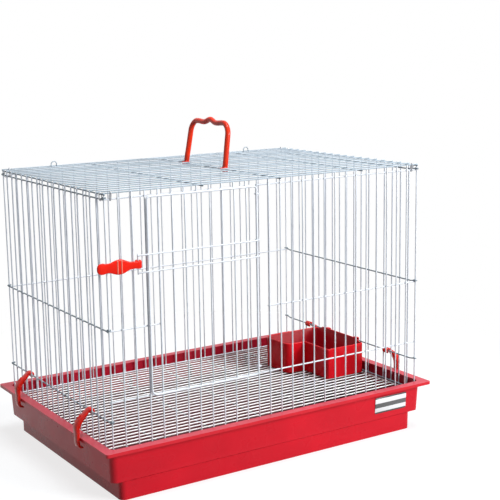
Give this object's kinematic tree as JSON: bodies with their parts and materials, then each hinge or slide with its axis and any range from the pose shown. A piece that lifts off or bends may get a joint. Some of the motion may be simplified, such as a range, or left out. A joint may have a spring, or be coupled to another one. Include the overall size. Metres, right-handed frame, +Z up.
{
  "type": "poultry transport crate",
  "caption": "Wire carrying cage for small poultry: flat wire roof and walls on a deep moulded tray, with a floor grate, side-hinged door, latch, bail handle, tray clips and a feeder.",
  "frame": {"origin": "centre of the tray's underside, on the surface it stands on", "axes": "+Z up, +X along the cage towards the feeder end, -Y out of the door side"},
  "size_m": [0.6134, 0.418, 0.5319],
  "materials": {
    "tray_plastic": "moulded, semi-gloss red",
    "blank_label": "blank satin label",
    "white_wire": "white powder coat on round wire",
    "ring_steel": "bright crimped wire",
    "clip_plastic": "moulded red",
    "latch_plastic": "moulded orange-red",
    "handle_plastic": "moulded orange-red, round rod",
    "feeder_plastic": "moulded red"
  },
  "bodies": {
    "cage": {"tray": "tray_plastic", "tray_label": "blank_label", "front_panel_left": "white_wire", "front_panel_right": "white_wire", "front_sill_grille": "white_wire", "doorway_header": "white_wire", "back_panel": "white_wire", "left_end_panel": "white_wire", "right_end_panel": "white_wire", "roof_panel": "white_wire", "floor_grate": "white_wire", "hanging_loop_left": "white_wire", "hanging_loop_right": "white_wire", "end_ring_left_front": "ring_steel", "end_ring_left_back": "ring_steel", "end_ring_right_front": "ring_steel", "end_ring_right_back": "ring_steel", "side_ring_left_front": "ring_steel", "side_ring_left_back": "ring_steel", "side_ring_right_front": "ring_steel", "side_ring_right_back": "ring_steel"},
    "door": {"door": "white_wire"},
    "latch": {"door_latch": "latch_plastic"},
    "handle": {"carrying_handle": "handle_plastic"},
    "feeder": {"feeder_cup": "feeder_plastic"},
    "clip_left_front": {"tray_clip_left_front": "clip_plastic"},
    "clip_left_back": {"tray_clip_left_back": "clip_plastic"},
    "clip_right_front": {"tray_clip_right_front": "clip_plastic"},
    "clip_right_back": {"tray_clip_right_back": "clip_plastic"}
  },
  "joints": [
    {"name": "door_hinge", "type": "hinge", "parent": "cage", "child": "door", "pos_m": [-0.0315, -0.189, 0.2955], "axis": [0, 0, 1], "range_deg": [0, 110]},
    {"name": "latch_pivot", "type": "hinge", "parent": "door", "child": "latch", "pos_m": [-0.2355, -0.1919, 0.3465], "axis": [0, 0, 1], "range_deg": [0, 120]},
    {"name": "handle_fold", "type": "hinge", "parent": "cage", "child": "handle", "pos_m": [0.0105, 0.0315, 0.449], "axis": [0, 1, 0], "range_deg": [-90, 73]},
    {"name": "feeder_lift", "type": "slide", "parent": "cage", "child": "feeder", "axis": [0, 0, 1], "range_m": [0, 0.04]},
    {"name": "clip_left_front_swing", "type": "hinge", "parent": "cage", "child": "clip_left_front", "pos_m": [-0.2835, -0.1155, 0.119], "axis": [0, 1, 0], "range_deg": [0, 120]},
    {"name": "clip_left_back_swing", "type": "hinge", "parent": "cage", "child": "clip_left_back", "pos_m": [-0.2835, 0.1155, 0.119], "axis": [0, 1, 0], "range_deg": [0, 120]},
    {"name": "clip_right_front_swing", "type": "hinge", "parent": "cage", "child": "clip_right_front", "pos_m": [0.2835, -0.1155, 0.119], "axis": [0, -1, 0], "range_deg": [0, 120]},
    {"name": "clip_right_back_swing", "type": "hinge", "parent": "cage", "child": "clip_right_back", "pos_m": [0.2835, 0.1155, 0.119], "axis": [0, -1, 0], "range_deg": [0, 120]}
  ]
}
